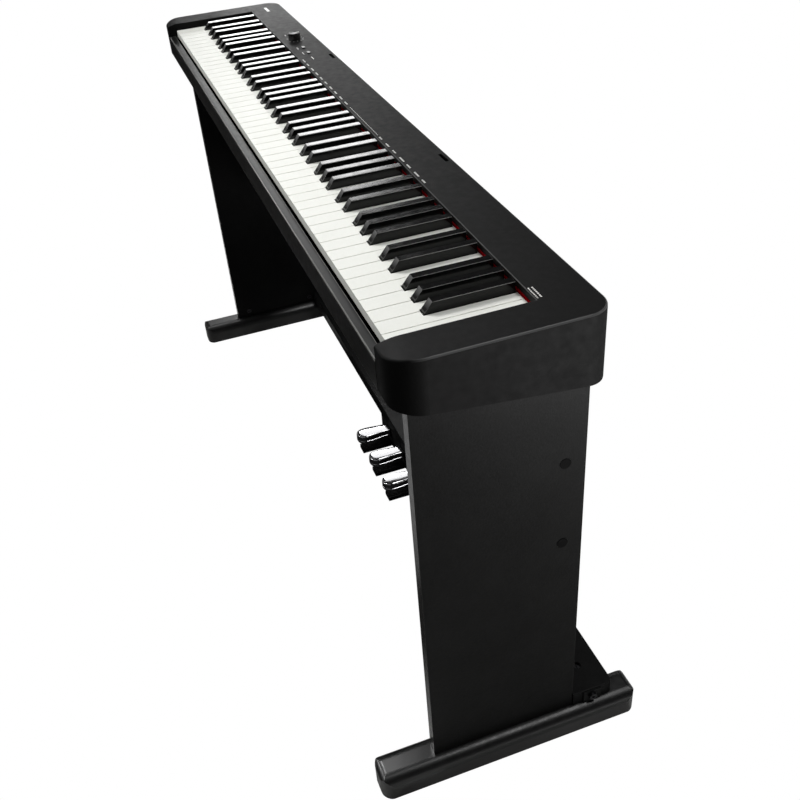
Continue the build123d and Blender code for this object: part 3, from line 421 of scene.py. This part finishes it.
printSettings = {  # mm
    "level": 690.0, "thick": 0.04,
    "rows": ((-254.0, 26.0, 10, 36.0), (138.0, 26.5, 7, 35.5)),  # first word, pitch, words, y
    "rowHeight": 2.1, "wordLong": (10, 16), "barLong": (1.0, 2.6), "barGap": (0.7, 1.3),
    "marks": (  # kind, x from and to, then y from and to, or y and height
        ("bar", 6, 130, 35.6, 36.0), ("word", -327, -315, 45.0, 1.4), ("word", -294, -281, 46.0, 1.4),
        ("bar", -262, -248, 52.4, 53.6), ("word", -416, -407, 46.5, 1.3),
        ("bar", -624, -593, 57.5, 62.5),  # plain bar at the bass end
        ("word", 589, 611, 38.0, 1.8), ("word", 589, 611, 33.8, 1.4)),
    "knobTicks": 11, "tickInner": 13.2, "tickOuter": 16.0, "tickHalf": 0.45, "tickTurn": 140,
}


def flatMark(x0, x1, y0, y1, s):
    return (x0, x1, y0, y1, s["level"], s["level"] + s["thick"])


def wordLike(x0, x1, y, height, s):  # row of short bars where small print sits
    spans = []
    x = x0
    while x < x1:
        wide = random.uniform(*s["barLong"])
        spans.append(flatMark(x, min(x + wide, x1), y - height / 2, y + height / 2, s))
        x += wide + random.uniform(*s["barGap"])
    return spans


s = printSettings
marks = []
for first, pitch, words, y in s["rows"]:
    for i in range(words):
        left = first + i * pitch
        marks += wordLike(left, left + random.uniform(*s["wordLong"]), y, s["rowHeight"], s)
for kind, *place in s["marks"]:
    marks += [flatMark(*place, s)] if kind == "bar" else wordLike(*place, s)
boxes("panelPrint", marks, inkWhite, caseBody)

verts, faces = [], []
for i in range(s["knobTicks"]):
    a = math.radians(90 + s["tickTurn"] - 2 * s["tickTurn"] * i / (s["knobTicks"] - 1))
    out = Vector((math.cos(a), math.sin(a), 0))
    side = Vector((-math.sin(a), math.cos(a), 0)) * s["tickHalf"]
    foot = Vector((knobSettings["x"], knobSettings["y"], s["level"] + s["thick"]))
    inner, outer = foot + out * s["tickInner"], foot + out * s["tickOuter"]
    faces.append(tuple(range(len(verts), len(verts) + 4)))
    verts += [tuple(c) for c in (inner - side, outer - side, outer + side, inner + side)]
meshPiece("volumeTicks", verts, faces, inkWhite, caseBody)
print("stage: panel print")

bandSettings = {"thick": 0.35, "inset": 0.4, "front": -108.0, "rear": 92.5, "inner": 601.0, "outer": 617.0,
                "low": 40.0, "frontTop": 627.4, "rearTop": 605.2}  # mm
s = bandSettings
for sideName, side in (("left", -1), ("right", 1)):
    x0, x1 = sorted((side * (s["inner"] + s["inset"]), side * (s["outer"] - s["inset"])))
    spans = [(x0, x1, s["front"] - s["thick"], s["front"], s["low"], s["frontTop"]),
             (x0, x1, s["rear"], s["rear"] + s["thick"], s["low"], s["rearTop"])]
    boxes(sideName + "PanelBanding", spans, bandBlack, caseBody)
print("stage: edge banding")

faceSettings = {  # mm
    "lift": 0.06, "slotLong": 6.4, "slotWide": 1.3,
    "panelFace": 601.0, "panelNuts": (-82.0, 61.0), "nutHeight": 52,
    "boardNut": (577.0, 121, 57.5),  # x, y and the face's height
    "bolt": (625, 121, 51), "socket": 2.3, "socketSides": 6,  # middle of a bolt's head, its hexagon's radius
    "jacks": (-528.0, -496.0), "jackHeight": 622, "rearWall": 92.5,
    "rimOuter": 5.2, "rimInner": 3.6, "rimThick": 0.4, "rimSteps": 36,
}
s = faceSettings
long, wide = s["slotLong"] / 2, s["slotWide"] / 2
slots = []
for side in (-1, 1):
    x0, x1 = sorted((side * s["panelFace"], side * (s["panelFace"] - s["lift"])))
    for y in s["panelNuts"]:
        slots.append((x0, x1, y - long, y + long, s["nutHeight"] - wide, s["nutHeight"] + wide))
    x, y, z = s["boardNut"]
    slots.append((side * x - long, side * x + long, y - wide, y + wide, z, z + s["lift"]))
boxes("nutSlotShade", slots, capBlack, caseBody)  # screwdriver slots in the barrel nuts, drawn as flat dark marks: painted shade in the slots

verts, faces = [], []
x, y, z = s["bolt"]
n = s["socketSides"]
for side in (-1, 1):
    faces.append(tuple(range(len(verts), len(verts) + n)))
    for k in range(n):
        a = math.radians(360 / n * k)
        verts.append((side * (x + s["lift"]), y + s["socket"] * math.cos(a), z + s["socket"] * math.sin(a)))
meshPiece("boltSocketShade", verts, faces, capBlack, caseBody)  # flat dark hexagons in the bolt heads on the pedal board's ends, painted shade of the sockets

verts, faces = [], []
n, low, high = s["rimSteps"], s["rearWall"], s["rearWall"] + s["rimThick"]
turns = [math.radians(360 / n * k) for k in range(n)]
rings = ((s["rimOuter"], low), (s["rimOuter"], high), (s["rimInner"], high), (s["rimInner"], low))
for x in s["jacks"]:
    start = len(verts)
    for r, y in rings:
        verts += [(x + r * math.cos(a), y, s["jackHeight"] + r * math.sin(a)) for a in turns]
    for i in range(len(rings) - 1):
        for k in range(n):
            a, b = start + i * n + k, start + i * n + (k + 1) % n
            faces.append((a, b, b + n, a + n))
meshPiece("jackRims", verts, faces, zincGrey, caseBody)
print("stage: small faces")

stageSettings = {
    "floorHalf": 9.0, "floorLevel": -0.0005, "floorShadowAndWhite": ("#262626", "#f0f0ee"),
    "floorTurn": (0.4, 0.6),  # metres from the middle along the keys over which the painted shadow under the piano gives way to the light floor
    "floorFront": (-0.3, -0.12),  # metres ahead of the middle where the painted shade comes back on the floor
    "shadowReach": (0.9, 1.9),  # metres from the middle over which the lit floor gives way to the white sweep
    "floorRise": (-0.1, 0.75),  # metres behind the keys over which reflections see the sweep's floor
    "wallRise": (-0.15, 0.25),  # turn of a ray to the rear over which it sees the sweep's wall
    "sweepTop": ((0.0, 1.0), (0.05, 1.0), (0.14, 0.0)),  # height of a reflected ray, share of white sweep
    "sky": ((0.0, 0.2), (0.2, 0.16), (0.33, 0.1), (0.5, 0.04), (1.0, 0.03)),  # height of a ray, room brightness
    "playerSide": 1.3,  # how much brighter the room is on the player's side
    "flag": ((-0.66, 0.1, 0.0), (-0.66, 0.7, 0.4)),  # black card behind the bass end, for the pedals' far edges
}
mesh = bpy.data.meshes.new("floor")
h, z = stageSettings["floorHalf"], stageSettings["floorLevel"]
mesh.from_pydata([(-h, -h, z), (h, -h, z), (h, h, z), (-h, h, z)], [], [(0, 1, 2, 3)])
floor = bpy.data.objects.new("floor", mesh)
bpy.context.scene.collection.objects.link(floor)

(x, y0, z0), (x, y1, z1) = stageSettings["flag"]
flagMesh = bpy.data.meshes.new("flag")
flagMesh.from_pydata([(x, y0, z0), (x, y1, z0), (x, y1, z1), (x, y0, z1)], [], [(0, 1, 2, 3)])
flag = bpy.data.objects.new("flag", flagMesh)
flag.visible_camera = False
bpy.context.scene.collection.objects.link(flag)
flagMesh.materials.append(rubberBlack)


def sweepShare(tree, mask):  # white for the camera, and for reflections where the mask is 1
    rays = addNode(tree, "ShaderNodeLightPath")
    bounced = addNode(tree, "ShaderNodeMath", {"operation": "ADD"},
                      {0: (rays, "Is Glossy Ray"), 1: (rays, "Is Transmission Ray")})
    masked = addNode(tree, "ShaderNodeMath", {"operation": "MULTIPLY"},
                     {0: (bounced, "Value"), 1: (mask, "Value")})
    return addNode(tree, "ShaderNodeMath", {"operation": "ADD", "use_clamp": True},
                   {0: (rays, "Is Camera Ray"), 1: (masked, "Value")})


floorMaterial = bpy.data.materials.new("white paper sweep")
floorMaterial.use_nodes = True
tree = floorMaterial.node_tree
tree.nodes.clear()
place = addNode(tree, "ShaderNodeTexCoord")
split = addNode(tree, "ShaderNodeSeparateXYZ", links={"Vector": (place, "Object")})
reach = addNode(tree, "ShaderNodeVectorMath", {"operation": "LENGTH"}, {0: (place, "Object")})
outward = addNode(tree, "ShaderNodeMath", {"operation": "ABSOLUTE"}, {0: (split, "X")})
parts = {}
for key, source in (("shadowReach", (reach, "Value")), ("floorRise", (split, "Y")),
                    ("floorTurn", (outward, "Value")), ("floorFront", (split, "Y"))):
    near, far = stageSettings[key]
    parts[key] = addNode(tree, "ShaderNodeMapRange", {"From Min": near, "From Max": far}, {"Value": source})
mask = addNode(tree, "ShaderNodeMath", {"operation": "MULTIPLY"},
               {0: (parts["shadowReach"], "Result"), 1: (parts["floorRise"], "Result")})
share = sweepShare(tree, mask)
# painted shadow: the floor's tone is dark under and ahead of the piano and light beyond, seen by reflected and
# bounced rays
turn = addNode(tree, "ShaderNodeMath", {"operation": "MULTIPLY"},
               {0: (parts["floorTurn"], "Result"), 1: (parts["floorFront"], "Result")})
dark, light = [colour(shade) for shade in stageSettings["floorShadowAndWhite"]]
tone = addNode(tree, "ShaderNodeMix", {"data_type": "RGBA", 6: dark, 7: light}, {0: (turn, "Value")})
matte = addNode(tree, "ShaderNodeBsdfDiffuse", links={"Color": (tone, 2)})
glow = addNode(tree, "ShaderNodeEmission", {"Color": (1, 1, 1, 1), "Strength": 1.0})
mixed = addNode(tree, "ShaderNodeMixShader",
                links={"Fac": (share, "Value"), 1: (matte, "BSDF"), 2: (glow, "Emission")})
addNode(tree, "ShaderNodeOutputMaterial", links={"Surface": (mixed, "Shader")})
mesh.materials.append(floorMaterial)

world = bpy.data.worlds.new("studio")
bpy.context.scene.world = world
world.use_nodes = True
tree = world.node_tree
tree.nodes.clear()
place = addNode(tree, "ShaderNodeTexCoord")
split = addNode(tree, "ShaderNodeSeparateXYZ", links={"Vector": (place, "Generated")})
ramps = {}
for key in ("sky", "sweepTop"):
    ramps[key] = addNode(tree, "ShaderNodeValToRGB", links={"Fac": (split, "Z")})
    stops = ramps[key].color_ramp.elements
    while len(stops) < len(stageSettings[key]):
        stops.new(0.5)
    for stop, (height, shade) in zip(stops, stageSettings[key]):
        stop.position = height
        stop.color = (shade, shade, shade, 1)
near, far = stageSettings["wallRise"]
behind = addNode(tree, "ShaderNodeMapRange", {"From Min": near, "From Max": far}, {"Value": (split, "Y")})
mask = addNode(tree, "ShaderNodeMath", {"operation": "MULTIPLY"},
               {0: (ramps["sweepTop"], "Color"), 1: (behind, "Result")})
share = sweepShare(tree, mask)
level = addNode(tree, "ShaderNodeMapRange",
                {"From Min": near, "From Max": far, "To Min": stageSettings["playerSide"]},
                {"Value": (split, "Y")})
room = addNode(tree, "ShaderNodeBackground",
               links={"Color": (ramps["sky"], "Color"), "Strength": (level, "Result")})
sweep = addNode(tree, "ShaderNodeBackground", {"Color": (1, 1, 1, 1), "Strength": 1.0})
mixed = addNode(tree, "ShaderNodeMixShader",
                links={"Fac": (share, "Value"), 1: (room, "Background"), 2: (sweep, "Background")})
addNode(tree, "ShaderNodeOutputWorld", links={"Surface": (mixed, "Shader")})

lightSettings = [  # metres, watts, degrees
    {"name": "frontTopSoftbox", "place": (-1.26, -0.45, 3.0), "aim": (0.6, -0.15, 0.69),
     "size": (0.85, 0.8), "watts": 8.3, "spread": 76},
    {"name": "edgeSoftbox", "place": (0.9, 0.82, 3.0), "aim": (0.9, 0.0, 0.69),
     "size": (1.7, 0.75), "watts": 22},
    {"name": "overheadSoftbox", "place": (0.0, -0.1, 3.0), "aim": (0.0, 0.0, 0.6),
     "size": (2.6, 2.6), "watts": 8},
    {"name": "stripSoftbox", "place": (-3.0, 0.61, 1.63), "aim": (0.0, 0.0, 0.69),
     "size": (0.42, 1.05), "watts": 12.5, "roll": 42},
    {"name": "pedalCard", "place": (-0.70, 0.22, 0.60), "aim": (0.0, 0.03, 0.04),
     "size": (0.45, 0.4), "watts": 0.72},
    {"name": "bandCard", "place": (0.04, -0.37, 0.003), "aim": (0.04, -0.37, 1.0),
     "size": (0.5, 0.26), "watts": 0.2},
    {"name": "endCard", "place": (1.9, 0.8, 0.02), "aim": (1.9, 0.8, 1.0),
     "size": (0.9, 0.9), "watts": 34},
    {"name": "frontSoftbox", "place": (-0.8, -2.0, 1.5), "aim": (0.2, 0.0, 0.4),
     "size": (0.7, 0.7), "watts": 18},
]
for s in lightSettings:
    data = bpy.data.lights.new(s["name"], "AREA")
    data.shape = "RECTANGLE"
    data.size, data.size_y = s["size"]
    data.energy = s["watts"]
    data.spread = math.radians(s.get("spread", 180))  # a grid on the box narrows its beam
    lamp = bpy.data.objects.new(s["name"], data)
    lamp.location = s["place"]
    lamp.rotation_mode = "QUATERNION"
    turn = (Vector(s["aim"]) - Vector(s["place"])).to_track_quat("-Z", "Y")
    lamp.rotation_quaternion = turn @ Quaternion((0, 0, 1), math.radians(s.get("roll", 0)))
    bpy.context.scene.collection.objects.link(lamp)

cameraSettings = {
    "place": (1.3295, -0.3326, 1.1627), "right": (0.340117, 0.937844, -0.069062),
    "up": (-0.535807, 0.253620, 0.805349), "back": (0.772807, -0.236909, 0.588764),
    "lens": 43.357, "sensor": 36,  # mm
}
s = cameraSettings
data = bpy.data.cameras.new("camera")
data.lens = s["lens"]
data.sensor_width = s["sensor"]
camera = bpy.data.objects.new("camera", data)
columns = [s["right"], s["up"], s["back"], s["place"]]
camera.matrix_world = Matrix([[c[r] for c in columns] for r in range(3)] + [[0, 0, 0, 1]])
bpy.context.scene.collection.objects.link(camera)
bpy.context.scene.camera = camera
bpy.context.scene.view_settings.view_transform = "Standard"
print("stage: light and camera")
